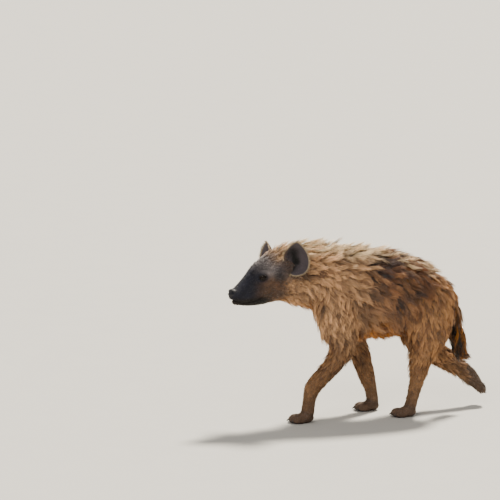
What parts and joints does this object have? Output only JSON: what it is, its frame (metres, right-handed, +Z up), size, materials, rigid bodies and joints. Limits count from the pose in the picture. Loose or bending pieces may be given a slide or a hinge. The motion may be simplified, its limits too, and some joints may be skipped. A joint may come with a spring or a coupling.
{
  "type": "spotted hyena",
  "caption": "Life-size still figure of a young spotted hyena in a walking pose, head low, one hind paw lifted, with a shaggy spotted coat.",
  "frame": {"origin": "middle of the figure's footprint, on the floor that the paws stand on", "axes": "+Z up; the animal walks towards -X, and its left side faces -Y"},
  "size_m": [1.0494, 0.277, 0.6847],
  "materials": {
    "coat": "shaggy buff and brown hair with darker spots",
    "mane": "long pale sandy hair",
    "face": "short hair, blue-black at the muzzle and brown behind",
    "ear": "thin short hair, dark inside with a pale rim",
    "leg": "short grey-brown hair with faint spots",
    "tail": "long hair, dark brown to black",
    "nose": "moist black pebbled skin",
    "eye": "wet dark brown"
  },
  "bodies": {
    "root": {"head": "face", "nose": "nose", "eye_left": "eye", "eye_right": "eye", "ear_left": "ear", "ear_right": "ear", "neck": "mane", "torso": "coat", "tail_root": "coat", "tail_tuft": "tail", "fore_left_upper": "coat", "fore_left_forearm": "leg", "fore_left_paw": "leg", "fore_right_upper": "coat", "fore_right_forearm": "leg", "fore_right_paw": "leg", "hind_left_thigh": "coat", "hind_left_shank": "leg", "hind_left_foot": "leg", "hind_left_paw": "leg", "hind_right_thigh": "coat", "hind_right_shank": "leg", "hind_right_foot": "leg", "hind_right_paw": "leg"}
  },
  "joints": []
}
